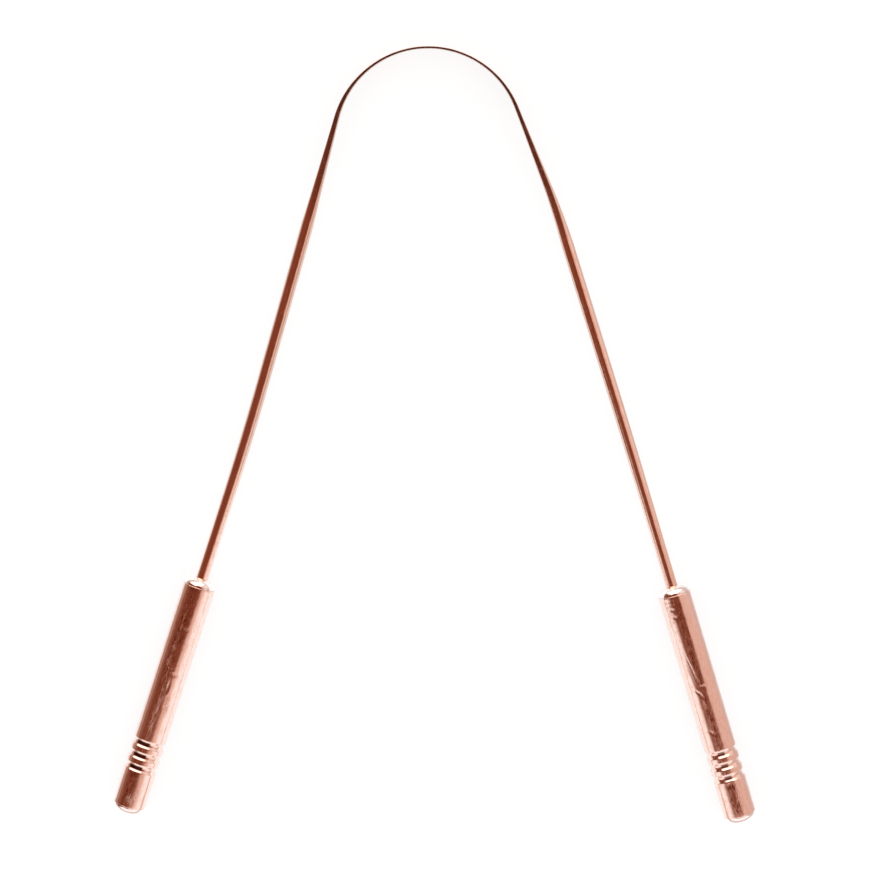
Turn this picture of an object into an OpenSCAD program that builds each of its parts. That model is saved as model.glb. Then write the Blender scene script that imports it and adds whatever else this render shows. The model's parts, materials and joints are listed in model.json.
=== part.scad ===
// Tongue scraper bent from one length of copper wire. The loop is hammered into a thin strip that
// stands on edge, the arms stay round, and each end is headed inside a turned copper handle.
// The part lies flat: the bow is in the XY plane with its crown towards +Y, and the table is Z = 0.

/* [Wire] */
// Diameter of the round wire
wire_d = 2.2; // [1.8:0.1:2.7]
// Width of the hammered strip at the crown
strip_w = 6; // [4:0.1:8]
// Thickness of the hammered strip at the crown
strip_t = 0.45; // [0.3:0.05:0.8]
// Run to the left of the crown's top that is hammered to one thickness
flat_run_left = 5; // [2:0.5:14]
// Run to the right of the crown's top that is hammered to one thickness
flat_run_right = 9; // [2:0.5:14]
// Run over which the strip swells back to round wire
taper_run = 37; // [24:0.5:42]

/* [Crown] */
// Radius of the crown at the middle of the wire
crown_r = 16.9; // [13:0.1:21]
// Turn of the crown on the left of its top, in degrees
crown_turn_left = 74.4; // [64:0.1:84]
// Turn of the crown on the right of its top, in degrees
crown_turn_right = 68.2; // [64:0.1:84]

/* [Arms] */
// Straight run from the crown to the shoulder
shoulder_run = 14.2; // [10:0.1:20]
// Run of the slow bend at the shoulder
shoulder_bend_run = 10; // [6:0.5:14]
// Turn of the left shoulder, in degrees
shoulder_turn_left = -0.4; // [-4:0.1:8]
// Turn of the right shoulder, in degrees
shoulder_turn_right = 4.3; // [-4:0.1:8]
// Straight run of the arm below the shoulder
arm_run = 25.4; // [15:0.1:35]
// Run of the slow bend above the handle
elbow_run = 20; // [10:0.5:30]
// Turn of the left elbow, in degrees
elbow_turn_left = -2.1; // [-4:0.1:4]
// Turn of the right elbow, in degrees
elbow_turn_right = 0.6; // [-4:0.1:4]
// Straight run from the elbow to the left handle
neck_run_left = 18.5; // [10:0.1:30]
// Straight run from the elbow to the right handle
neck_run_right = 22.6; // [10:0.1:30]

/* [Handles] */
// Outer diameter of the handle tube
handle_d = 6; // [5:0.1:8]
// Length of the handle tube
handle_len = 42.4; // [30:0.2:60]
// Wall of the handle tube
tube_wall = 1; // [0.8:0.05:1.2]
// Height of the dome on each end cap
dome_h = 1.65; // [0.8:0.05:2]
// Width of the ring of tube that shows round the foot of each dome
rim_w = 0.2; // [0.15:0.01:0.5]
// Length of the spigot that a cap has inside the tube
spigot_len = 5; // [3:0.1:8]

/* [Grip grooves] */
// Number of turned grooves near the free end
groove_n = 3; // [1:1:5]
// Distance from one groove to the next
groove_pitch = 2.3; // [2:0.05:3]
// Width of a groove at the surface
groove_w = 1.45; // [1.2:0.05:1.8]
// Width of a groove's floor
groove_floor_w = 0.55; // [0.3:0.05:0.9]
// Depth of a groove at the foot of its flanks
groove_depth = 0.27; // [0.15:0.01:0.6]
// Distance from the free end of the tube to the first groove
groove_from_end = 6.8; // [4:0.1:10]

/* [Hidden] */

// Sides of the bow
LEFT = -1;
RIGHT = 1;

// Clearances of the pressed fits, small enough to read as solid
wire_gap = 0.02;
spigot_gap = 0.02;
seat_gap = 0.02;
// Clearance between the collar and the head of the wire
head_gap = 0.05;
// Height of the head that is upset on each end of the wire
head_h = 1.2;
// Broken edges
edge = 0.12;
// Dip in the middle of a groove's floor, left by a round-nosed tool
groove_dip = 0.04;

// Corner radius of the hammered strip, as a share of half its thickness. Round wire has 1.
strip_corner = 0.35;
// How late the corners grow round, and the thickness, along the taper: 1 is even
corner_power = 2.5;
swell_power = 1.7;

// The round tail takes over from the lofted wire this far outside the collar
tail_lead = 1.5;
// The loft draws in by seam where the tail begins, over seam_run, and ends inside the tail
seam = 0.01;
seam_run = 0.5;

// Fineness of the loft and of the round parts. A ring has the same points in each quarter.
ring_fn = 24;
ring_turn = 3;
ring_run = 2.5;
floor_steps = 4;
dome_steps = 12;
round_fn = 96;

handle_r = handle_d / 2;
wire_r = wire_d / 2;
bore_r = handle_r - tube_wall;
spigot_r = bore_r - spigot_gap;
hole_r = wire_r + wire_gap;
head_r = (wire_r + bore_r) / 2;
dome_foot_r = handle_r - rim_w;
// Height of the bow's middle plane, so that the lowest point rests on the table
plane_z = max(handle_r, strip_w / 2);

// Bends of one side as [run, turn], from the top of the crown to the handle
function arc_run(r, turn) = r * turn * PI / 180;
function bends(side) = side == LEFT
    ? [[arc_run(crown_r, crown_turn_left), crown_turn_left],
       [shoulder_run, 0],
       [shoulder_bend_run, shoulder_turn_left],
       [arm_run, 0],
       [elbow_run, elbow_turn_left],
       [neck_run_left, 0]]
    : [[arc_run(crown_r, crown_turn_right), crown_turn_right],
       [shoulder_run, 0],
       [shoulder_bend_run, shoulder_turn_right],
       [arm_run, 0],
       [elbow_run, elbow_turn_right],
       [neck_run_right, 0]];

// Step along an arc of a given run that starts at heading h and turns by turn. Headings are
// degrees below the outward level direction, so +X of the result points out from the middle.
function arc_step(run, h, turn) =
    let (shrink = turn == 0 ? 1 : sin(turn / 2) / (turn / 2 * PI / 180), mid = h + turn / 2)
    run * shrink * [cos(mid), -sin(mid)];

// [out, up, heading] at a run s from the top of the crown. The last row goes on straight.
function along(rows, s, i = 0, at = [0, 0], h = 0) =
    let (last = i == len(rows) - 1,
         run = last ? s : min(s, rows[i][0]),
         turn = rows[i][1] * run / rows[i][0],
         end = at + arc_step(run, h, turn))
    last || s <= rows[i][0] ? [end.x, end.y, h + turn]
                            : along(rows, s - rows[i][0], i + 1, end, h + turn);

// Run at which row i of a bend table starts
function run_before(rows, i) = i == 0 ? 0 : rows[i - 1][0] + run_before(rows, i - 1);
// Run from the top of the crown to the upper end of a handle tube
function rim_run(side) = run_before(bends(side), len(bends(side)));
// Run at which the round tail begins
function tail_run(side) = rim_run(side) - dome_h - tail_lead;

// Where a handle starts, its reach out from the top of the crown and the lowest point of its dome
function neck(side) = along(bends(side), rim_run(side));
function reach(side) =
    let (n = neck(side))
    n.x + (handle_len - edge) * cos(n[2]) + handle_r * sin(n[2]);
function foot(side) =
    let (n = neck(side))
    n.y - (handle_len + seat_gap) * sin(n[2]) - norm([dome_foot_r * cos(n[2]), dome_h * sin(n[2])]);
// The top of the crown, placed so that the origin is below the middle of the whole part
crown_at = [(reach(LEFT) - reach(RIGHT)) / 2, -(strip_t / 2 + min(foot(LEFT), foot(RIGHT))) / 2];

// Share of the way from strip to round wire at a run s, and the section there.
// Hammering spreads the wire sideways as it thins it, by one power of the thickness.
spread = ln(strip_w / wire_d) / ln(wire_d / strip_t);
function flat_run(side) = side == LEFT ? flat_run_left : flat_run_right;
function round_share(side, s) = min(max((s - flat_run(side)) / taper_run, 0), 1);
function thick_at(side, s) = strip_t + (wire_d - strip_t) * pow(round_share(side, s), swell_power);
function wide_at(thick) = wire_d * pow(wire_d / thick, spread);
function corner_share(side, s) =
    strip_corner + (1 - strip_corner) * pow(round_share(side, s), corner_power);
function drawn_in(side, s) = seam * min(max((s - tail_run(side)) / seam_run + 1, 0), 2);

// Ring of points round the wire on one side, at a run s from the top of the crown. Each quarter
// of the ring is one rounded corner, and the flats are the steps from corner to corner.
function ring(side, s) =
    let (c = along(bends(side), s),
         thick = thick_at(side, s),
         half_t = thick / 2 - drawn_in(side, s),
         half_w = wide_at(thick) / 2 - drawn_in(side, s),
         corner = half_t * corner_share(side, s))
    [for (k = [0 : ring_fn - 1])
        let (a = 360 * (k + 0.5) / ring_fn,
             out = sign(cos(a)) * (half_t - corner) + corner * cos(a),
             up = sign(sin(a)) * (half_w - corner) + corner * sin(a))
        [crown_at.x + side * (c.x + out * sin(c[2])),
         crown_at.y + c.y + out * cos(c[2]),
         plane_z + up]];

// Number of rings on row i: only a straight stretch of round wire needs none between its ends
function row_rings(side, rows, i) =
    let (plain = rows[i][1] == 0 && run_before(rows, i) >= flat_run(side) + taper_run)
    max(ceil(abs(rows[i][1]) / ring_turn), plain ? 1 : ceil(rows[i][0] / ring_run));

// Runs of the rings on one side, ending inside the round tail
function ring_runs(side) =
    let (rows = bends(side), last = len(rows) - 1, tail = tail_run(side))
    concat(
        [for (i = [0 : last - 1])
            let (n = row_rings(side, rows, i))
            for (k = [0 : n - 1]) run_before(rows, i) + rows[i][0] * k / n],
        [run_before(rows, last), tail - seam_run, tail + seam_run]);

// The hammered strip and both arms, lofted from the left handle to the right one
module bow() {
    left = ring_runs(LEFT);
    right = ring_runs(RIGHT);
    points = concat(
        [for (i = [len(left) - 1 : -1 : 1]) each ring(LEFT, left[i])],
        [for (s = right) each ring(RIGHT, s)]);
    rings = len(left) - 1 + len(right);
    sides = [for (i = [0 : rings - 2], k = [0 : ring_fn - 1])
        let (a = i * ring_fn + k,
             b = i * ring_fn + (k + 1) % ring_fn,
             c = b + ring_fn,
             d = a + ring_fn)
        each [[a, d, c], [a, c, b]]];
    start = [for (k = [0 : ring_fn - 1]) k];
    finish = [for (k = [ring_fn - 1 : -1 : 0]) (rings - 1) * ring_fn + k];
    polyhedron(points = points, faces = concat([start], sides, [finish]), convexity = 6);
}

// Puts a child on a handle's axis: zero at the upper end of the tube, +Z towards the free end
module on_handle(side) {
    at = neck(side);
    translate([crown_at.x + side * at.x, crown_at.y + at.y, plane_z])
        rotate([90, 0, side * (90 - at[2])])
            children();
}

// Round end of the wire through the collar, with the head that keeps it there
module tail() {
    start = -dome_h - tail_lead;
    head = spigot_len + head_gap;
    end = head + head_h;
    rotate_extrude($fn = round_fn)
        polygon([[0, start], [wire_r, start], [wire_r, head], [head_r - edge, head],
                 [head_r, head + edge], [head_r, end - edge], [head_r - edge, end], [0, end]]);
}

// Outline of one groove centred at z: straight flanks and a floor that dips in its middle
function groove(z) = concat(
    [[handle_r, z - groove_w / 2]],
    [for (i = [0 : floor_steps])
        let (v = 2 * i / floor_steps - 1)
        [handle_r - groove_depth - groove_dip * (1 - v * v), z + v * groove_floor_w / 2]],
    [[handle_r, z + groove_w / 2]]);

// Tube of the handle, with its grooves near the free end
module sleeve() {
    last_groove = handle_len - groove_from_end - groove_w / 2;
    grooves = [for (i = [groove_n - 1 : -1 : 0]) each groove(last_groove - groove_pitch * i)];
    rotate_extrude($fn = round_fn)
        polygon(concat(
            [[bore_r, 0], [handle_r - edge, 0], [handle_r, edge]],
            grooves,
            [[handle_r, handle_len - edge], [handle_r - edge, handle_len], [bore_r, handle_len]]));
}

// Cap with an elliptical dome above the end of the tube and a spigot below it, bored right through
// where inner_r is over zero
module cap(inner_r) {
    top = acos(inner_r / dome_foot_r);
    dome = [for (i = [0 : dome_steps])
        let (a = top * (1 - i / dome_steps))
        [dome_foot_r * cos(a), seat_gap + dome_h * sin(a)]];
    rotate_extrude($fn = round_fn)
        polygon(concat(
            dome,
            [[spigot_r, seat_gap], [spigot_r, edge - spigot_len],
             [spigot_r - edge, -spigot_len], [inner_r, -spigot_len]]));
}

// Cap on the free end of the tube
module end_plug() {
    translate([0, 0, handle_len]) cap(0);
}

// Cap where the wire goes in
module collar() {
    rotate([180, 0, 0]) cap(hole_r);
}

module blade_wire() {
    color("#c9785a") {
        bow();
        on_handle(LEFT) tail();
        on_handle(RIGHT) tail();
    }
}

module left_sleeve() {
    color("#dd9479") on_handle(LEFT) sleeve();
}

module right_sleeve() {
    color("#dd9479") on_handle(RIGHT) sleeve();
}

module left_end_plug() {
    color("#e9b19b") on_handle(LEFT) end_plug();
}

module right_end_plug() {
    color("#e9b19b") on_handle(RIGHT) end_plug();
}

module left_collar() {
    color("#e9b19b") on_handle(LEFT) collar();
}

module right_collar() {
    color("#e9b19b") on_handle(RIGHT) collar();
}

blade_wire();
left_sleeve();
right_sleeve();
left_end_plug();
right_end_plug();
left_collar();
right_collar();
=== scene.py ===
"""Copper tongue scraper: a wire bow with a hammered crown and a turned handle on each end."""

import json
import math

import bpy
import numpy as np
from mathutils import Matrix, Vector


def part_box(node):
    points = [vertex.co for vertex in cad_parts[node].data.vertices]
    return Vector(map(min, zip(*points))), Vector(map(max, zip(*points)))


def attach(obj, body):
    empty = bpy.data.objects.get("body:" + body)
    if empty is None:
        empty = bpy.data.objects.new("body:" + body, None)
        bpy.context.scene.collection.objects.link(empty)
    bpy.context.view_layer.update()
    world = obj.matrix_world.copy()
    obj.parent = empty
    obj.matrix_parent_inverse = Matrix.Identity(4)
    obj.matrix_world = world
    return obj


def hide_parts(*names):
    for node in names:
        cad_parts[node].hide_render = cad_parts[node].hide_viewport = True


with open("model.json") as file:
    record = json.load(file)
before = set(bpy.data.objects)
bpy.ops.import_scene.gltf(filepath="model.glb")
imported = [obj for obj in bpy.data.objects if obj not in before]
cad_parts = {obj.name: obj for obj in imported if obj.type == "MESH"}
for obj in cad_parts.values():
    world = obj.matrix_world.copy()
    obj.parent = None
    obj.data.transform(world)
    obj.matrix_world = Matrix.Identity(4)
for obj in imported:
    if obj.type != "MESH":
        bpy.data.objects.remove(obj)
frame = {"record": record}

bl_info = {
    "name": "Copper tongue scraper",
    "version": (1, 0, 0),
    "blender": (4, 5, 0),
    "location": "View3D > Sidebar > Scraper",
    "description": "Builds a copper tongue scraper on its packed model",
    "category": "Add Mesh",
}

MM = 0.001
LEFT, RIGHT = -1, 1
SIDES = {"left": LEFT, "right": RIGHT}
UP = Vector((0, 0, 1))
# The packed model's two grips, by side, and their radius
GRIPS = {m["name"].split("_")[0]: m for m in frame["record"]["mounts"]}
GRIP_R = GRIPS["left"]["dims"]["r_mm"] * MM
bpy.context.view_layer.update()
# The tubes, the domes and the edges of the strip lie this far inside the packed model's
SKIN = 0.02 * MM
# Edges that turn by more than this are shaded as sharp
SHARP = math.radians(50)


# Sizes, colours and settings


def length(name, text, default):
    return bpy.props.FloatProperty(
        name=name, description=text, default=default, min=0, subtype="DISTANCE", unit="LENGTH"
    )


def turn(name, text, degrees):
    return bpy.props.FloatProperty(
        name=name,
        description=text,
        default=math.radians(degrees),
        subtype="ANGLE",
        unit="ROTATION",
    )


def share(name, text, default):
    return bpy.props.FloatProperty(
        name=name, description=text, default=default, min=0, max=1, subtype="FACTOR"
    )


def number(name, text, default):
    return bpy.props.FloatProperty(name=name, description=text, default=default, min=0)


def tone(name, text, default):
    return bpy.props.FloatVectorProperty(
        name=name, description=text, default=default, size=3, min=0, soft_max=1, subtype="COLOR"
    )


class BowSizes(bpy.types.PropertyGroup):
    """Sizes of the wire bow"""

    wire_d: length("Wire diameter", "Diameter of the round wire", 2.2 * MM)
    strip_w: length("Strip width", "Width of the hammered strip at the crown", 6 * MM)
    strip_t: length("Strip thickness", "Thickness of the hammered strip", 0.45 * MM)
    flat_left: length("Left flat run", "Run of even strip left of the crown's top", 5 * MM)
    flat_right: length("Right flat run", "Run of even strip right of the crown's top", 9 * MM)
    taper_run: length("Taper run", "Run over which the strip swells to wire", 37 * MM)
    swell: number("Swell", "How late the thickness grows along the taper", 1.7)
    corner: share("Strip corner", "Corner radius of the strip, of half its thickness", 0.35)
    rounding: number("Rounding", "How late the corners grow round along the taper", 2.5)
    hollow: length("Hammer marks", "Deepest hollow left by the hammer", 0.02 * MM)
    crown_r: length("Crown radius", "Radius of the crown at the wire's middle", 16.9 * MM)
    crown_left: turn("Left crown", "Turn of the crown on the left", 74.4)
    crown_right: turn("Right crown", "Turn of the crown on the right", 68.2)
    shoulder_run: length("Shoulder run", "Straight run below the crown", 14.2 * MM)
    shoulder_bend: length("Shoulder bend", "Run of the bend at the shoulder", 10 * MM)
    shoulder_left: turn("Left shoulder", "Turn of the left shoulder", -0.4)
    shoulder_right: turn("Right shoulder", "Turn of the right shoulder", 4.3)
    arm_run: length("Arm run", "Straight run below the shoulder", 25.4 * MM)
    elbow_run: length("Elbow run", "Run of the slow bend above the handle", 20 * MM)
    elbow_left: turn("Left elbow", "Turn of the left elbow", -2.1)
    elbow_right: turn("Right elbow", "Turn of the right elbow", 0.6)
    neck_left: length("Left neck", "Straight run above the left handle", 18.5 * MM)
    neck_right: length("Right neck", "Straight run above the right handle", 22.6 * MM)
    head_h: length("Head height", "Height of the head on each end of the wire", 1.2 * MM)
    head_gap: length("Head gap", "Clearance between a collar and the wire's head", 0.05 * MM)


class HandleSizes(bpy.types.PropertyGroup):
    """Sizes of the two handles"""

    tube_r: length("Tube radius", "Outer radius of the handle tube", GRIP_R)
    tube_len: length("Tube length", "Length of the handle tube", 42.4 * MM)
    wall: length("Wall", "Wall of the handle tube", 1 * MM)
    dome_h: length("Dome height", "Height of the dome on each cap", 1.65 * MM)
    rim_w: length("Rim width", "Ring of tube that shows round a dome", 0.2 * MM)
    spigot_len: length("Spigot length", "Length of a cap inside the tube", 5 * MM)
    edge: length("Broken edge", "Size of the broken edges", 0.12 * MM)
    gap: length("Fit gap", "Clearance of the pressed fits", 0.02 * MM)
    groove_n: bpy.props.IntProperty(
        name="Grooves", description="Number of turned grooves", default=3, min=1, max=5
    )
    groove_pitch: length("Groove pitch", "Distance from groove to groove", 2.3 * MM)
    groove_w: length("Groove width", "Width of a groove at the surface", 1.45 * MM)
    groove_floor: length("Groove floor", "Width of a groove's floor", 0.55 * MM)
    groove_depth: length("Groove depth", "Depth of a groove at the foot of its flanks", 0.27 * MM)
    groove_dip: length("Groove dip", "Dip in the middle of a groove's floor", 0.04 * MM)
    groove_land: length("End land", "Distance from the last groove to the tube's end", 6.8 * MM)


class CopperFinish(bpy.types.PropertyGroup):
    """Colours and polish of the copper"""

    wire: tone("Wire", "Colour of the wire bow", (0.92, 0.57, 0.46))
    tube: tone("Tube", "Colour of the handle tubes", (0.93, 0.60, 0.50))
    # The caps' copper is paler than the tube's so that the domes read white: partly the copper's
    # own tone, partly a painted highlight
    cap: tone("Caps", "Colour of the domed caps", (0.96, 0.75, 0.68))
    # The grime colour darkens the bore, the seams and the strip's edges, and paints shade on an
    # arc of the grooves' floors
    grime: tone("Grime", "Colour of the dark skin in grooves and seams", (0.10, 0.030, 0.018))
    # The tarnish colour is both brown stains and painted reflection: long bands of it darken the
    # dark band that each tube mirrors
    tarnish_and_reflection: tone("Tarnish", "Colour of the brown stains on the handles", (0.36, 0.11, 0.055))
    polish: share("Roughness", "Roughness of the polished surface", 0.1)
    haze: share("Haze", "Roughness that worn patches add", 0.11)
    lines: share("Polishing lines", "Strength of the fine lines left by polishing", 0.05)
    waves: number("Waves", "Strength of the soft waves left by hand polishing", 1.2)


class StageSettings(bpy.types.PropertyGroup):
    """Camera, floor and light"""

    aim: bpy.props.FloatVectorProperty(
        name="Aim",
        description="Point that the camera looks at",
        default=(0.09 * MM, 0.863 * MM, 3 * MM),
        size=3,
        subtype="TRANSLATION",
        unit="LENGTH",
    )
    lean: length("Camera lean", "How far the camera stands towards the crown", 64 * MM)
    height: length("Camera height", "Height of the camera above the bow", 576 * MM)
    lens: number("Lens", "Focal length in millimetres", 133.2)
    floor: share("Floor white", "Share of the floor's white that no shadow dims", 0.80)
    shine: number("Floor in the shine", "Brightness of the floor as the metal mirrors it", 1.42)
    shade: share("Shade in the shine", "Share of that brightness that takes shadows", 0.85)
    tent_r: length("Tent radius", "Radius of the cloth tent that the metal mirrors", 500 * MM)


# The bow's centre line


def bend_rows(sizes, side):
    """Bends of one side as (run, turn), from the top of the crown to the handle."""
    if side == LEFT:
        turns = sizes.crown_left, sizes.shoulder_left, sizes.elbow_left
        neck = sizes.neck_left
    else:
        turns = sizes.crown_right, sizes.shoulder_right, sizes.elbow_right
        neck = sizes.neck_right
    crown, shoulder, elbow = turns
    return [
        (sizes.crown_r * crown, crown),
        (sizes.shoulder_run, 0),
        (sizes.shoulder_bend, shoulder),
        (sizes.arm_run, 0),
        (sizes.elbow_run, elbow),
        (neck, 0),
    ]


def arc_step(run, heading, bend):
    """Step along an arc. Headings are measured down from the outward level direction."""
    shrink = 1 if bend == 0 else math.sin(bend / 2) / (bend / 2)
    middle = heading + bend / 2
    return run * shrink * math.cos(middle), -run * shrink * math.sin(middle)


def along(rows, s):
    """(out, up, heading) at a run s from the top of the crown, straight past the end."""
    out = up = heading = 0
    for run, bend in rows:
        part = min(s, run)
        step = arc_step(part, heading, bend * part / run)
        out, up, heading = out + step[0], up + step[1], heading + bend * part / run
        s -= part
        if s <= 0:
            return out, up, heading
    step = arc_step(s, heading, 0)
    return out + step[0], up + step[1], heading


def handle_place(name, tube_len):
    """(start of the tube, direction to the free end, direction across) of one handle."""
    axis = Vector(GRIPS[name]["axis"]).normalized()
    start = Vector(GRIPS[name]["pos_m"]) - axis * tube_len / 2
    return start, axis, UP.cross(axis)


# Meshes


def smooth_step(x):
    x = np.clip(x, 0, 1)
    return x * x * (3 - 2 * x)


def finish_mesh(name, points, faces, grain, values, material, stands_for):
    """Makes a piece, stores its grain and other values on its points, and seats it."""
    mesh = bpy.data.meshes.new(name)
    mesh.from_pydata([tuple(p) for p in points], [], faces)
    mesh.validate()
    stored = mesh.attributes.new("grain", "FLOAT_VECTOR", "POINT")
    stored.data.foreach_set("vector", np.asarray(grain, np.float32).ravel())
    for key, value in values.items():
        stored = mesh.attributes.new(key, "FLOAT", "POINT")
        stored.data.foreach_set("value", np.asarray(value, np.float32).ravel())
    mesh.polygons.foreach_set("use_smooth", [True] * len(mesh.polygons))
    mesh.set_sharp_from_angle(angle=SHARP)
    mesh.materials.append(material)
    piece = bpy.data.objects.new(name, mesh)
    bpy.context.scene.collection.objects.link(piece)
    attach(piece, "root")
    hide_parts(stands_for)


def ring_faces(rings, steps, closed=False):
    """Quads between rings of points, wound so that they face outwards."""
    faces = []
    for i in range(rings if closed else rings - 1):
        a, b = i * steps, (i + 1) % rings * steps
        for k in range(steps):
            n = (k + 1) % steps
            faces.append((a + k, b + k, b + n, a + n))
    return faces


def revolved(place, outline, steps, closed, dent=None):
    """Points, faces and grain of an outline of (radius, along) turned round a handle's axis.
    An open outline starts and ends on the axis."""
    start, axis, across = (np.array(v) for v in place)
    up = np.array(UP)
    rows = outline if closed else outline[1:-1]
    phi = np.arange(steps) * 2 * math.pi / steps
    side = np.outer(np.cos(phi), up) + np.outer(np.sin(phi), across)
    points, grain = [], []
    for r, z in rows:
        radius = r - (dent(phi, r, z) if dent else np.zeros(steps))
        points += list(start + axis * z + side * radius[:, None])
        grain += [(r / MM * math.cos(p), r / MM * math.sin(p), z / MM) for p in phi]
    faces = ring_faces(len(rows), steps, closed)
    if not closed:
        first, last = outline[0][1], outline[-1][1]
        points += [start + axis * first, start + axis * last]
        grain += [(0, 0, first / MM), (0, 0, last / MM)]
        foot, top = len(points) - 2, (len(rows) - 1) * steps
        for k in range(steps):
            n = (k + 1) % steps
            faces.append((foot, k, n))
            faces.append((foot + 1, top + n, top + k))
    return points, faces, grain


def softened(corners, steps=4):
    """Outline through corners of (radius, along, size), each broken by an arc of its size."""
    places = [np.array(c[:2], float) for c in corners]
    rows = []
    for i, (r, z, size) in enumerate(corners):
        if size == 0:
            rows.append((r, z))
            continue
        before, here, after = places[i - 1], places[i], places[i + 1]
        a = here + (before - here) / np.linalg.norm(before - here) * size
        b = here + (after - here) / np.linalg.norm(after - here) * size
        for t in np.linspace(0, 1, steps + 1):
            rows.append(tuple((1 - t) ** 2 * a + 2 * t * (1 - t) * here + t**2 * b))
    return rows


def divided(rows, step):
    """The same outline, with long stretches cut into short ones."""
    cut = [rows[0]]
    for (r0, z0), (r1, z1) in zip(rows, rows[1:]):
        n = max(math.ceil(math.hypot(r1 - r0, z1 - z0) / step), 1)
        cut += [(r0 + (r1 - r0) * i / n, z0 + (z1 - z0) * i / n) for i in range(1, n + 1)]
    return cut


# Shader nodes


def new_material(name):
    """(material, its empty node tree)"""
    made = bpy.data.materials.new(name)
    made.use_nodes = True
    made.node_tree.nodes.clear()
    return made, made.node_tree


def new_node(tree, kind, **settings):
    """A node with its input sockets or its own settings filled in by name."""
    node = tree.nodes.new(kind)
    for name, value in settings.items():
        if name in node.inputs:
            node.inputs[name].default_value = value
        else:
            setattr(node, name, value)
    return node


def fill(tree, socket, value):
    """Links a socket to another one, or sets it to a number or colour."""
    if isinstance(value, bpy.types.NodeSocket):
        tree.links.new(value, socket)
    else:
        socket.default_value = value


def ramp(tree, source, low, high, to_low=0.0, to_high=1.0):
    """Smooth step of a value from low to high."""
    node = new_node(tree, "ShaderNodeMapRange", interpolation_type="SMOOTHSTEP", clamp=True)
    for socket, value in zip(node.inputs, (source, low, high, to_low, to_high)):
        fill(tree, socket, value)
    return node.outputs[0]


def noise(tree, vector, stretch, detail, distortion, slant):
    """Noise along the grain. stretch is the noise scale in each direction, per millimetre."""
    mapping = new_node(
        tree,
        "ShaderNodeMapping",
        vector_type="TEXTURE",
        Rotation=(slant, slant * CROSS_SLANT, 0),
        Scale=tuple(1 / v for v in stretch),
    )
    tree.links.new(vector, mapping.inputs["Vector"])
    node = new_node(
        tree,
        "ShaderNodeTexNoise",
        Scale=1,
        Detail=detail,
        Roughness=NOISE_ROUGHNESS,
        Distortion=distortion,
    )
    tree.links.new(mapping.outputs[0], node.inputs["Vector"])
    return node.outputs["Fac"]


def maths(tree, operation, a, b):
    node = new_node(tree, "ShaderNodeMath", operation=operation)
    fill(tree, node.inputs[0], a)
    fill(tree, node.inputs[1], b)
    return node.outputs[0]


def blend_colour(tree, part, a, b):
    node = new_node(tree, "ShaderNodeMix", data_type="RGBA")
    fill(tree, node.inputs[0], part)
    fill(tree, node.inputs[6], a)
    fill(tree, node.inputs[7], b)
    return node.outputs[2]


def tinted(colour, tint):
    """A colour times a tint, for a colour socket."""
    return (*(c * t for c, t in zip(colour, tint)), 1)


def show(tree, surface):
    """Makes a shader the material's surface."""
    output = new_node(tree, "ShaderNodeOutputMaterial")
    tree.links.new(surface, output.inputs["Surface"])


# Copper


# Slant of a noise to the second side, of that to the first
CROSS_SLANT = 0.7
NOISE_ROUGHNESS = 0.6
# For each kind of piece, the noise scale of its polishing lines in each direction of the grain and
# of its stains, per millimetre
POLISH = {
    "wire": ((5, 5, 0.12), 0.5),
    "tube": ((7, 7, 0.16), 0.45),
    "cap": ((1.2, 1.2, 6), 0.5),
}
# The other noises: scale in each direction of the grain, detail, distortion and slant
NOISES = {
    "worn": ((1.7, 1.7, 0.8), 5, 1.2, 0),
    "fibres": ((6, 6, 0.5), 3, 0.3, 0.06),
    "scratches": ((9, 9, 0.35), 2, 0.2, 0.22),
    "specks": ((3.1, 3.1, 2.3), 2, 1.5, 0),
    "waves": ((1.3, 1.3, 0.4), 2, 0.5, 0),
    "mottles": ((3.2, 3.2, 0.9), 4, 1.2, 0),
}
# Steps made from the noises: which noise, where the step starts and ends, and its value before
# and after
STEPS = {
    "stain": ("stains", 0.50, 0.78, 0, 1),
    "patch": ("worn", 0.47, 0.62, 0, 1),
    "streak": ("fibres", 0.50, 0.72, 0, 0.6),
    "mottle": ("mottles", 0.46, 0.58, 0, 1),
    "polish": ("broad", 0.3, 0.7, 0.75, 1.35),
    "rubbed": ("fibres", 0.40, 0.62, 0.1, 0.55),
    "speck": ("specks", 0.70, 0.80, 0, 0.12),
    "scratch": ("scratches", 0.66, 0.72, 0, 0.10),
}
# Scale of the broad bands of polish, of that of the lines
BROAD = 0.3
# Share of the plain colour that stains and streaks keep
STAIN_TINT = (0.97, 0.89, 0.83)
STREAK_TINT = (0.88, 0.76, 0.70)
GRIME_AND_SHADE_ROUGHNESS = 0.2
BUMP_STRENGTH, BUMP_DEPTH = 0.35, 0.05 * MM


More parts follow.
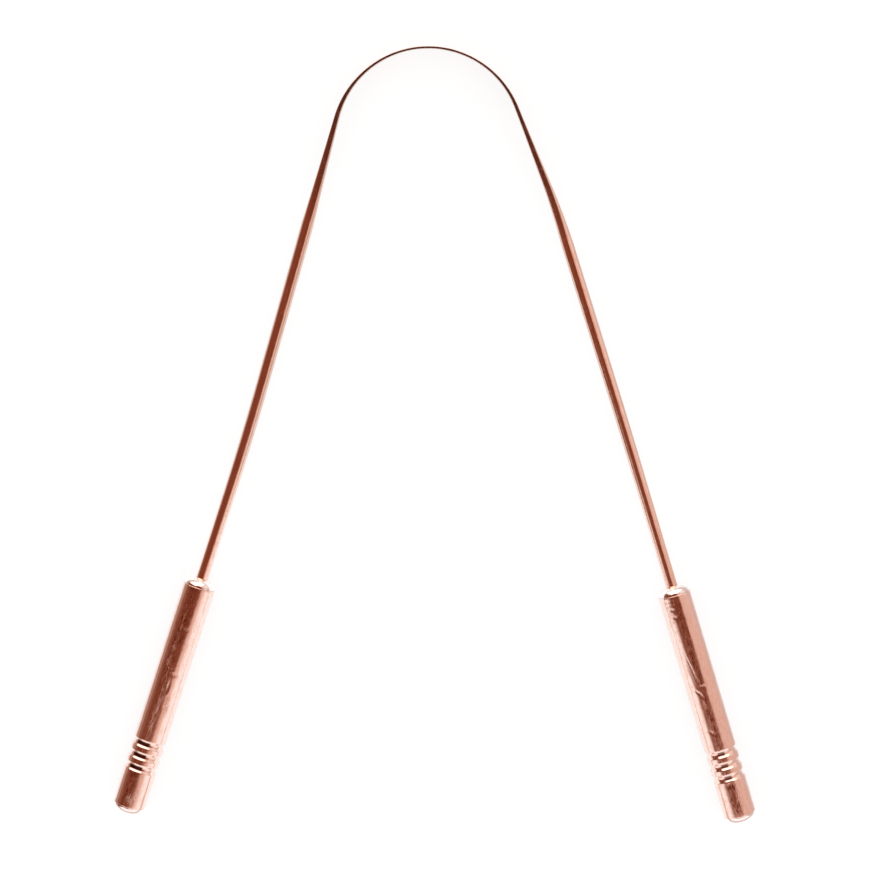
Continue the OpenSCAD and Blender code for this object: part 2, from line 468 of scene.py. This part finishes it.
def copper(name, colour, finish, kind):
    """Polished copper with its polishing lines, stains, scratches, grime and painted shade."""
    material, tree = new_material(name)
    grain, grime, scuff, tarnish_and_reflection = (
        new_node(tree, "ShaderNodeAttribute", attribute_name=key).outputs[output]
        for key, output in (
            ("grain", "Vector"),
            ("grime", "Fac"),
            ("scuff", "Fac"),
            ("tarnish_and_reflection", "Fac"),
        )
    )
    stretch, stain_scale = POLISH[kind]
    rows = {
        "lines": (stretch, 4, 0, 0),
        "broad": (tuple(v * BROAD for v in stretch), 3, 0.4, 0),
        "stains": ((stain_scale,) * 3, 5, 0.8, 0),
        **NOISES,
    }
    noises = {key: noise(tree, grain, *row) for key, row in rows.items()}
    steps = {key: ramp(tree, noises[source], *row) for key, (source, *row) in STEPS.items()}

    darkened = maths(tree, "MAXIMUM", steps["stain"], steps["patch"])
    skin = blend_colour(tree, darkened, (*colour, 1), tinted(colour, STAIN_TINT))
    skin = blend_colour(tree, steps["streak"], skin, tinted(colour, STREAK_TINT))
    # Brown stains, and painted reflection in long bands along the mirrored dark band
    mottled = maths(tree, "MULTIPLY", tarnish_and_reflection, steps["mottle"])
    mottled = maths(tree, "MAXIMUM", mottled, maths(tree, "SUBTRACT", tarnish_and_reflection, 1))
    skin = blend_colour(tree, mottled, skin, (*finish.tarnish_and_reflection, 1))
    # Grime, and painted shade on an arc of the grooves' floors
    skin = blend_colour(tree, grime, skin, (*finish.grime, 1))

    rough = maths(tree, "MULTIPLY", steps["polish"], finish.polish)
    for cover, added in (
        (steps["patch"], finish.haze),
        (scuff, steps["rubbed"]),
        (grime, GRIME_AND_SHADE_ROUGHNESS),
    ):
        rough = maths(tree, "ADD", rough, maths(tree, "MULTIPLY", cover, added))

    height = maths(tree, "MULTIPLY", noises["lines"], finish.lines)
    waves = maths(tree, "MULTIPLY", noises["waves"], finish.waves)
    height = maths(tree, "ADD", height, waves)
    for part in ("speck", "scratch"):
        height = maths(tree, "SUBTRACT", height, steps[part])
    bump = new_node(tree, "ShaderNodeBump", Strength=BUMP_STRENGTH, Distance=BUMP_DEPTH)
    tree.links.new(height, bump.inputs["Height"])

    shader = new_node(tree, "ShaderNodeBsdfPrincipled", Metallic=1)
    tree.links.new(skin, shader.inputs["Base Color"])
    tree.links.new(rough, shader.inputs["Roughness"])
    tree.links.new(bump.outputs[0], shader.inputs["Normal"])
    show(tree, shader.outputs[0])
    return material


# Pieces


class SCRAPER_OT_bow(bpy.types.Operator):
    """Build the hammered strip, both arms and the headed ends of the wire"""

    bl_idname = "scraper.bow"
    bl_label = "Wire bow"

    corner_points = 12
    ring_step = 0.55 * MM
    # How dark the edges of the hammered strip are, and how much of each rounded corner counts as
    # edge: 0 is all of it and 1 none
    dark_edge, edge_from = 0.85, 0.9
    # Waves of the hammer marks: radians a millimetre along the strip, radians at the start, and
    # radians by which they differ between the faces and from the middle of the strip to a face
    hammer_waves = ((1.1, 0, 0.8, 0), (0.47, 2.1, 0, 0), (1.9, 0.4, 0, 2.5))

    def taper_done(self, side, s):
        """Share of the way from strip to round wire."""
        flat = self.sizes.flat_left if side == LEFT else self.sizes.flat_right
        return min(max((s - flat) / self.sizes.taper_run, 0), 1)

    def section(self, side, s):
        """(half thickness, half width, corner radius) of the wire at a run s."""
        sizes, done = self.sizes, self.taper_done(side, s)
        thick = sizes.strip_t + (sizes.wire_d - sizes.strip_t) * done**sizes.swell
        spread = math.log(sizes.strip_w / sizes.wire_d) / math.log(sizes.wire_d / sizes.strip_t)
        wide = sizes.wire_d * (sizes.wire_d / thick) ** spread
        corner = sizes.corner + (1 - sizes.corner) * done**sizes.rounding
        return thick / 2, wide / 2 - SKIN, corner * thick / 2

    def hammered(self, side, s, across):
        """Metal that the hammer took off each face: shallow hollows that fade on the arms.
        across is -1 on one face and 1 on the other."""
        fade = 1 - self.taper_done(side, s)
        x = s / MM * side
        lobes = sum(
            np.sin(x * pitch + start + faces * np.sign(across) + slope * across)
            for pitch, start, faces, slope in self.hammer_waves
        )
        return self.sizes.hollow * fade * (1 + lobes / len(self.hammer_waves)) / 2

    def ring(self, side, s, radius=None):
        """(points, grain, darkness) round the wire at a run s. Without a radius the section is a
        rounded rectangle that grows into a circle."""
        out, up, heading = along(self.rows[side], s)
        steps = 4 * self.corner_points
        angle = (np.arange(steps) + 0.5) * 2 * math.pi / steps
        c, v = np.cos(angle), np.sin(angle)
        if radius is None:
            half_t, half_w, corner = self.section(side, s)
            x = np.sign(c) * (half_t - corner) + corner * c
            z = np.sign(v) * (half_w - corner) + corner * v
            x = x * (1 - self.hammered(side, s, x / half_t) / half_t)
        else:
            x, z = radius * c, radius * v
        points = np.stack(
            [
                self.crown.x + side * (out + x * math.sin(heading)),
                self.crown.y + up + x * math.cos(heading),
                self.crown.z + z,
            ],
            axis=1,
        )
        grain = np.stack([x / MM, z / MM, np.full_like(x, side * s / MM)], axis=1)
        flat = 1 - self.taper_done(side, s) ** 2
        return points, grain, self.dark_edge * flat * (abs(v) > self.edge_from)

    def stations(self, side, handle):
        """(run, radius or None) of the rings on one side, the head last."""
        wire_r = self.sizes.wire_d / 2
        end = sum(run for run, _ in self.rows[side])
        collar = end - handle.dome_h
        head_r = (wire_r + handle.tube_r - handle.wall) / 2
        face = end + handle.spigot_len + self.sizes.head_gap
        back, edge = face + self.sizes.head_h, handle.edge
        rings = [(s, None) for s in np.arange(self.ring_step, collar, self.ring_step)]
        rings += [(face, wire_r), (face, head_r - edge), (face + edge, head_r)]
        return rings + [(back - edge, head_r), (back, head_r - edge)]

    def execute(self, context):
        scene = context.scene
        self.sizes, handle, finish = scene.scraper_bow, scene.scraper_handles, scene.scraper_finish
        self.rows = {side: bend_rows(self.sizes, side) for side in SIDES.values()}
        end = sum(run for run, _ in self.rows[LEFT])
        start = handle_place("left", handle.tube_len)[0]
        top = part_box("blade_wire")[1].y - self.sizes.strip_t / 2
        self.crown = Vector((start.x + along(self.rows[LEFT], end)[0], top, start.z))

        left, right = (
            [self.ring(side, s, r) for s, r in self.stations(side, handle)]
            for side in (LEFT, RIGHT)
        )
        rings = right[::-1] + [self.ring(RIGHT, 0)] + left
        points, grain, dark = (np.concatenate(part) for part in zip(*rings))
        n = 4 * self.corner_points
        last = (len(rings) - 1) * n
        faces = ring_faces(len(rings), n)
        faces.append(tuple(range(n)))
        faces.append(tuple(last + k for k in reversed(range(n))))
        material = copper("drawn_copper", finish.wire, finish, "wire")
        values = {"grime": dark}
        finish_mesh("bow", points, faces, grain, values, material, "blade_wire")
        return {"FINISHED"}


# Marks on the handles: marks of use, and long bands along the dark side of each tube that are
# painted reflection, darkening the dark band that the tube mirrors. Columns: millimetres from the
# tube's upper end, angle round it from the top in degrees, half length, half width and depth in
# millimetres, drift in degrees a millimetre, how far the metal is rubbed dull, and how far it is
# darkened: up to 1 in mottles only, from 1 to 2 between them as well
MARKS = {
    "left": [
        # The first two rows are long bands of painted reflection along the dark side
        (8.0, -15, 9.0, 0.75, 0, 0, 0.12, 1.0),
        (38.0, -15, 5.0, 0.75, 0, 0, 0.12, 0.8),
        (13.4, -20, 0.60, 0.16, 0.08, 0.5, 1.0, 0),
        (14.6, -24, 0.45, 0.18, 0.14, 1.0, 1.0, 0),
        (15.6, -12, 0.12, 0.45, 0.04, 0, 1.0, 0),
        (16.3, -9, 0.12, 0.50, 0.04, 0, 1.0, 0),
        (17.2, -12, 0.80, 0.18, 0.06, 3, 1.0, 0),
        (18.7, 5, 0.75, 0.16, 0.10, 1, 1.0, 0),
        (16.5, 18, 0.25, 0.50, 0.06, 0, 0.2, 0.6),
        (21.0, 15, 0.40, 0.30, 0.05, 0, 0.2, 0.4),
        (22.6, 20, 0.80, 0.45, 0.05, 0, 0.2, 0.6),
        (10.5, -17, 6.00, 0.24, 0, 0, 0.60, 0),
        (24.5, -9, 4.50, 0.40, 0.01, -0.3, 0.85, 0),
        (39.5, 14, 2.00, 0.60, 0, 0, 0.3, 0.35),
        (7.9, 6, 0.20, 0.35, 0.03, 0, 0.8, 0),
        (11.4, -21, 0.30, 0.30, 0.04, 0, 0.6, 0),
        (38.4, -14, 1.60, 0.60, 0.02, 2, 0.2, 0.7),
        (41.0, 6, 0.70, 0.30, 0.04, 2, 1.0, 0),
        (40.6, -7, 0.90, 0.45, 0.01, 0, 0.8, 0),
        (39.5, -21, 2.00, 0.35, 0, 0, 0, 1.0),
    ],
    "right": [
        # This row and the last two are long bands of painted reflection along the dark side
        (21.0, -4, 30.0, 0.45, 0, 0, 0.08, 0.9),
        (14.5, -16, 1.90, 0.12, 0.08, 2.9, 0.8, 0),
        (14.0, -26, 1.60, 0.20, 0.04, 1.5, 0.2, 0),
        (18.25, -20, 0.30, 0.15, 0.10, 17, 1.0, 0),
        (18.95, -11, 0.35, 0.15, 0.10, 9, 1.0, 0),
        (17.25, 5, 0.10, 0.50, 0.06, 0, 1.0, 0),
        (20.8, -10, 0.60, 0.18, 0.03, 0, 0.6, 0),
        (24.5, -10, 3.00, 0.25, 0.01, 0, 0.25, 0),
        (26.1, -12, 0.35, 0.20, 0.09, 12, 0.9, 0),
        (0.9, -24, 0.12, 0.70, 0.02, -3, 0, 1.0),
        (1.6, -22, 0.15, 0.80, 0.02, -3, 0, 1.0),
        (2.4, -24, 0.14, 0.28, 0.08, 0, 1.0, 0),
        (3.1, -25, 0.28, 0.40, 0, 0, 0, 1.0),
        (3.8, -23, 0.18, 0.28, 0.08, 0, 1.0, 0),
        (4.6, -22, 0.25, 0.45, 0, 0, 0, 0.9),
        (36.2, -6, 0.40, 0.60, 0.04, 0, 0.3, 0),
        (40.0, 14, 0.80, 0.60, 0.03, 0, 0.3, 0),
        (33.0, -3, 9.00, 0.55, 0, 0, 0, 1.0),
        (38.7, -5, 2.40, 0.62, 0, 0, 0, 1.85),
    ],
}


# Degrees round each handle, from its top, between which the grooves' floors are painted dark, and
# how dark, up to 1:
# painted shade, laid only on the arc where the tube mirrors its dark band
GROOVE_SHADE_ARCS = {"left": (-48, 8, 1), "right": (-18, 9, 0.75)}


class SCRAPER_OT_handles(bpy.types.Operator):
    """Build the two handle tubes with their turned grooves"""

    bl_idname = "scraper.handles"
    bl_label = "Handle tubes"

    steps = 160
    row_step = 0.2 * MM
    # Size of the arcs at the corners of a groove
    soft = 0.05 * MM
    # Shift that keeps the two handles' grain apart, in millimetres
    grain_shift = 70
    # Painted shade lies where a groove is deeper than this share of its depth, and its ends fade
    # over this many degrees
    grime_depth, grime_border = 0.9, 6

    def groove(self, middle):
        """Corners of one turned groove: straight flanks and a floor that dips in its middle."""
        h = self.sizes
        skin, half, floor = h.tube_r - SKIN, h.groove_w / 2, h.groove_floor / 2
        foot = skin - h.groove_depth
        return [
            (skin, middle - half, self.soft),
            (foot, middle - floor, self.soft),
            (foot - h.groove_dip, middle, self.soft),
            (foot, middle + floor, self.soft),
            (skin, middle + half, self.soft),
        ]

    def outline(self):
        """Outline of the tube's wall as (radius, along), down the outside and up the bore."""
        h = self.sizes
        skin, bore, end = h.tube_r - SKIN, h.tube_r - h.wall, h.tube_len
        last = end - h.groove_land - h.groove_w / 2
        corners = [(bore, 0, 0), (skin, 0, h.edge)]
        for i in reversed(range(h.groove_n)):
            corners += self.groove(last - h.groove_pitch * i)
        corners += [(skin, end, h.edge), (bore, end, 0)]
        return divided(softened(corners), self.row_step)

    def marks(self, name, phi, z):
        """(depth of the dents, how dull, how darkened the metal is, by stains and by painted
        reflection) round one ring of a tube.
        """
        depth, rubbed, darkened = (np.zeros_like(phi) for _ in range(3))
        for at, angle, half_len, half_w, deep, drift, dull, darkening in MARKS[name]:
            dz = z / MM - at
            off = (phi - math.radians(angle + drift * dz) + math.pi) % (2 * math.pi) - math.pi
            off = off * self.sizes.tube_r / MM / half_w
            mark = np.exp(-(off**2) / 2 - (dz / half_len) ** 2 / 2)
            depth += deep * MM * mark
            rubbed = np.maximum(rubbed, dull * mark)
            darkened = np.maximum(darkened, darkening * mark)
        return depth, rubbed, darkened

    def grime(self, name, phi, r):
        """How dark one ring of a tube is: wholly in the bore, and on one arc of a groove's floor,
        where the dark is painted shade.
        """
        h = self.sizes
        if r < h.tube_r - h.wall / 2:
            return np.ones_like(phi)
        low, high, thick = GROOVE_SHADE_ARCS[name]
        off = abs((np.degrees(phi) - (low + high) / 2 + 180) % 360 - 180)
        arc = smooth_step(((high - low) / 2 - off) / self.grime_border + 0.5)
        return thick * arc * (r < h.tube_r - h.groove_depth * self.grime_depth)

    def execute(self, context):
        self.sizes, finish = context.scene.scraper_handles, context.scene.scraper_finish
        outline = self.outline()
        plain = self.sizes.tube_r - 2 * SKIN
        phi = np.arange(self.steps) * 2 * math.pi / self.steps
        for name in SIDES:

            def dent(phi, r, z):
                return self.marks(name, phi, z)[0] if r > plain else np.zeros_like(phi)

            place = handle_place(name, self.sizes.tube_len)
            points, faces, grain = revolved(place, outline, self.steps, True, dent)
            grain = np.array(grain) + (0, 0, self.grain_shift * SIDES[name])
            values = {"grime": [], "scuff": [], "tarnish_and_reflection": []}
            for r, z in outline:
                _, rubbed, darkened = self.marks(name, phi, z)
                outside = 1 if r > plain else 0
                values["grime"].append(self.grime(name, phi, r))
                values["scuff"].append(outside * rubbed)
                values["tarnish_and_reflection"].append(outside * darkened)
            material = copper(name + "_tube_copper", finish.tube, finish, "tube")
            piece, node = name + "_handle_tube", name + "_sleeve"
            finish_mesh(piece, points, faces, grain, values, material, node)
        return {"FINISHED"}


class SCRAPER_OT_caps(bpy.types.Operator):
    """Build the domed caps on the free ends and the drilled collars on the wire"""

    bl_idname = "scraper.caps"
    bl_label = "Domed caps"

    steps = 128
    dome_steps = 24

    def outline(self, hole):
        """Outline of a cap from the top of its dome to the end of its spigot, tube end at zero."""
        h = self.sizes
        foot, height = h.tube_r - h.rim_w - SKIN, h.dome_h - SKIN
        spigot = h.tube_r - h.wall - h.gap
        top = math.acos(hole / foot)
        rows = []
        for i in range(self.dome_steps + 1):
            a = top * (1 - i / self.dome_steps)
            rows.append((foot * math.cos(a), h.gap + height * math.sin(a)))
        rows += [(spigot, h.gap), (spigot, h.edge - h.spigot_len)]
        return rows + [(spigot - h.edge, -h.spigot_len), (hole, -h.spigot_len)]

    def execute(self, context):
        scene = context.scene
        self.sizes, finish = scene.scraper_handles, scene.scraper_finish
        hole = scene.scraper_bow.wire_d / 2 + self.sizes.gap
        for name in SIDES:
            place = handle_place(name, self.sizes.tube_len)
            collar = [(r, -z) for r, z in self.outline(hole)]
            self.cap(name + "_entry_collar", place, collar, True, finish, name + "_collar")
            plug = [(r, z + self.sizes.tube_len) for r, z in self.outline(0)][::-1]
            self.cap(name + "_end_cap", place, plug, False, finish, name + "_end_plug")
        return {"FINISHED"}

    def cap(self, piece, place, outline, bored, finish, node):
        """Makes one cap, with dark metal inside the tube."""
        points, faces, grain = revolved(place, outline, self.steps, bored)
        inside = self.sizes.tube_r - self.sizes.wall
        rings = outline if bored else outline[1:-1]
        darkening = [1.0 if r < inside and 0 < z < self.sizes.tube_len else 0.0 for r, z in rings]
        grime = np.zeros(len(points))
        grime[: len(rings) * self.steps] = np.repeat(darkening, self.steps)
        material = copper(piece + "_copper", finish.cap, finish, "cap")
        values = {"grime": grime}
        finish_mesh(piece, points, faces, grain, values, material, node)


# Floor, light and camera


BROWN = (0.225, 0.072, 0.038)
BLACK = (0.03, 0.012, 0.008)
LAMP = (1.15, 1.32, 1.44)
# Soft areas of the tent that the metal mirrors, laid over each other in this order: name,
# azimuths and zenith angles in degrees, glow, and width of the soft border both ways in degrees
AREAS = (
    ("warm_ring", (0, 360), (0, 48), (0.84, 0.66, 0.60), 8, 14),
    ("right_side", (327, 357), (38, 101), (0.81, 0.68, 0.64), 8, 12),
    ("front_lamp", (216, 323), (56, 101), LAMP, 6, 28),
    ("right_edge", (323, 340), (62, 101), (0.62, 0.58, 0.56), 5, 12),
    ("left_wall", (160, 217), (0, 101), BROWN, 8, 8),
    ("left_edge", (150, 200), (70, 101), (0.29, 0.15, 0.12), 8, 14),
    ("left_shelf", (190, 254), (0, 50), BROWN, 24, 26),
    ("front_shelf", (230, 330), (0, 31), BROWN, 12, 11),
    ("right_shelf", (312, 338), (0, 36), BROWN, 8, 12),
    ("overhead", (0, 360), (0, 24), BROWN, 8, 9),
    ("crown_side", (147, 180), (40, 101), BROWN, 8, 10),
    ("crown_lamp", (52, 147), (29, 101), (2.4, 2.4, 2.4), 10, 8),
    ("camera_lens", (0, 360), (0, 7), BLACK, 3, 6),
)


class SCRAPER_OT_stage(bpy.types.Operator):
    """Build the floor, the cloth tent that the metal mirrors, the light and the camera"""

    bl_idname = "scraper.stage"
    bl_label = "Stage"

    tent_glow = 0.95
    # Zenith angle of the tent's lower edge, in degrees
    tent_edge = 95
    tent_rows, tent_steps = 90, 240
    # The soft borders of an area widen towards the tent's top, down to this sine of the zenith
    least_sine = 0.25
    floor_rings, floor_steps, floor_r = 12, 72, 4.0
    # Own white and lit white of the floor together, a little over 1 so that it clips to white
    floor_white = 1.03
    # Tint of the floor in the metal's shine, between the handles
    floor_tint = (0.80, 1.0, 1.1)
    # Other, darker tints towards the crown, past the free ends and outside each handle, which
    # paint shade on the floor round the object as the metal mirrors it: the distances between
    # which the tint changes, and the tint beyond them
    fades = {
        "crown": (-22 * MM, 5 * MM, (0.62, 0.71, 0.75)),
        "foot": (73 * MM, 80 * MM, (0.55, 0.48, 0.46)),
        "left": (7 * MM, 14 * MM, (0.34, 0.25, 0.22)),
        "right": (2 * MM, 10 * MM, (0.52, 0.49, 0.49)),
    }

    def glow_at(self, azimuth, zenith):
        """Colour of the tent in one direction."""
        glow = np.full(3, self.tent_glow)
        narrow = max(math.sin(math.radians(zenith)), self.least_sine)
        for _, azimuths, zeniths, colour, soft_azimuth, soft_zenith in AREAS:
            inside = zeniths[1] - zenith
            if zeniths[0] > 0:
                inside = min(inside, zenith - zeniths[0])
            cover = smooth_step(inside / soft_zenith + 0.5)
            half = (azimuths[1] - azimuths[0]) / 2
            if half < 180:
                off = abs((azimuth - azimuths[0] - half + 180) % 360 - 180)
                cover *= smooth_step((half - off) * narrow / soft_azimuth + 0.5)
            glow = glow + (np.array(colour) - glow) * cover
        return glow

    def add(self, name, points, faces, material):
        """Adds a mesh that isn't part of the object."""
        mesh = bpy.data.meshes.new(name)
        mesh.from_pydata(points, [], faces)
        mesh.materials.append(material)
        made = bpy.data.objects.new(name, mesh)
        bpy.context.scene.collection.objects.link(made)
        return made

    def tent(self, stage):
        """Cloth tent round the object, seen only in the shine of the metal."""
        centre = Vector((stage.aim[0], stage.aim[1] + stage.lean, 0))
        points, glow = [], []
        for j in range(self.tent_rows + 1):
            zenith = self.tent_edge * j / self.tent_rows
            for i in range(self.tent_steps):
                azimuth = 360 * i / self.tent_steps
                z, a = math.radians(zenith), math.radians(azimuth)
                way = Vector((math.sin(z) * math.cos(a), math.sin(z) * math.sin(a), math.cos(z)))
                points.append(centre + stage.tent_r * way)
                glow.append((*self.glow_at(azimuth, zenith), 1))
        material, tree = new_material("tent_cloth")
        light = new_node(tree, "ShaderNodeEmission")
        source = new_node(tree, "ShaderNodeAttribute", attribute_name="glow")
        tree.links.new(source.outputs["Color"], light.inputs["Color"])
        show(tree, light.outputs[0])
        faces = ring_faces(self.tent_rows + 1, self.tent_steps)
        made = self.add("tent", points, faces, material)
        stored = made.data.attributes.new("glow", "FLOAT_COLOR", "POINT")
        stored.data.foreach_set("color", np.array(glow, np.float32).ravel())
        for rays in ("camera", "diffuse", "transmission", "volume_scatter", "shadow"):
            setattr(made, "visible_" + rays, False)

    def floor(self, stage):
        """Round pale floor: most of its white comes from itself, the rest takes the shadow."""
        steps = self.floor_steps
        points = [(0, 0, 0)]
        for i in range(1, self.floor_rings + 1):
            r = self.floor_r * (i / self.floor_rings) ** 2
            angles = [2 * math.pi * k / steps for k in range(steps)]
            points += [(r * math.cos(a), r * math.sin(a), 0) for a in angles]
        faces = [(0, 1 + k, 1 + (k + 1) % steps) for k in range(steps)]
        faces += [tuple(1 + v for v in face) for face in ring_faces(self.floor_rings, steps)]
        material, tree = new_material("pale_floor")
        path = new_node(tree, "ShaderNodeLightPath").outputs
        seen = maths(tree, "MAXIMUM", path["Is Camera Ray"], path["Is Transmission Ray"])
        shine = maths(tree, "MULTIPLY", path["Is Glossy Ray"], stage.shine)
        tint = (*self.floor_tint, 1)
        for name, (near, far, colour) in self.fades.items():
            tint = blend_colour(tree, self.beside(tree, name, near, far), tint, (*colour, 1))
        shown = blend_colour(tree, path["Is Glossy Ray"], (1, 1, 1, 1), tint)
        glow = new_node(tree, "ShaderNodeEmission")
        matt = new_node(tree, "ShaderNodeBsdfDiffuse")
        for part, kept, socket in (
            (stage.floor, 1 - stage.shade, glow.inputs["Color"]),
            (self.floor_white - stage.floor, stage.shade, matt.inputs["Color"]),
        ):
            plain = maths(tree, "MULTIPLY", seen, part)
            mirrored = maths(tree, "MULTIPLY", shine, kept)
            scaled = new_node(tree, "ShaderNodeVectorMath", operation="SCALE")
            tree.links.new(shown, scaled.inputs[0])
            tree.links.new(maths(tree, "ADD", plain, mirrored), scaled.inputs["Scale"])
            tree.links.new(scaled.outputs[0], socket)
        both = new_node(tree, "ShaderNodeAddShader")
        tree.links.new(glow.outputs[0], both.inputs[0])
        tree.links.new(matt.outputs[0], both.inputs[1])
        show(tree, both.outputs[0])
        self.add("floor", points, faces, material)

    def beside(self, tree, name, near, far):
        """How far a spot of the floor lies on one side of the object, from near to far."""
        if name in SIDES:
            start, _, across = handle_place(name, 0)
            outward = across * SIDES[name]
        else:
            start, outward = Vector(), Vector((0, 1 if name == "crown" else -1, 0))
        place = new_node(tree, "ShaderNodeTexCoord").outputs["Object"]
        node = new_node(tree, "ShaderNodeVectorMath", operation="DOT_PRODUCT")
        tree.links.new(place, node.inputs[0])
        node.inputs[1].default_value = outward
        distance = maths(tree, "SUBTRACT", node.outputs["Value"], start.dot(outward))
        return ramp(tree, distance, near, far)

    def sky(self):
        """Even white light from all round."""
        world = bpy.data.worlds.new("white_room")
        world.use_nodes = True
        background = world.node_tree.nodes["Background"]
        background.inputs["Color"].default_value = (1, 1, 1, 1)
        background.inputs["Strength"].default_value = 1
        bpy.context.scene.world = world

    def camera(self, stage):
        data = bpy.data.cameras.new("camera")
        data.lens, data.sensor_width = stage.lens, 36
        data.clip_start, data.clip_end = 0.01, 20
        made = bpy.data.objects.new("camera", data)
        bpy.context.scene.collection.objects.link(made)
        made.location = Vector(stage.aim) + Vector((0, stage.lean, stage.height))
        made.rotation_euler = (-math.atan2(stage.lean, stage.height), 0, 0)
        bpy.context.scene.camera = made

    def execute(self, context):
        stage = context.scene.scraper_stage
        self.floor(stage)
        self.tent(stage)
        self.sky()
        self.camera(stage)
        context.scene.view_settings.view_transform = "Standard"
        return {"FINISHED"}


class VIEW3D_PT_tongue_scraper(bpy.types.Panel):
    """Sizes, colours and build steps of the tongue scraper"""

    bl_space_type = "VIEW_3D"
    bl_region_type = "UI"
    bl_category = "Scraper"
    bl_label = "Tongue scraper"

    def draw(self, context):
        for group, owner in GROUPS.items():
            box = self.layout.box()
            box.label(text=owner.__doc__)
            for name in owner.__annotations__:
                box.prop(getattr(context.scene, group), name)
        for operator in OPERATORS:
            self.layout.operator(operator.bl_idname)


GROUPS = {
    "scraper_bow": BowSizes,
    "scraper_handles": HandleSizes,
    "scraper_finish": CopperFinish,
    "scraper_stage": StageSettings,
}
OPERATORS = (SCRAPER_OT_bow, SCRAPER_OT_handles, SCRAPER_OT_caps, SCRAPER_OT_stage)
CLASSES = (*GROUPS.values(), *OPERATORS, VIEW3D_PT_tongue_scraper)


def register():
    for cls in CLASSES:
        bpy.utils.register_class(cls)
    for name, group in GROUPS.items():
        setattr(bpy.types.Scene, name, bpy.props.PointerProperty(type=group))


def unregister():
    for name in GROUPS:
        delattr(bpy.types.Scene, name)
    for cls in reversed(CLASSES):
        bpy.utils.unregister_class(cls)


def main():
    register()
    bpy.ops.scraper.bow()
    bpy.ops.scraper.handles()
    bpy.ops.scraper.caps()
    bpy.ops.scraper.stage()


if __name__ == "__main__":
    main()
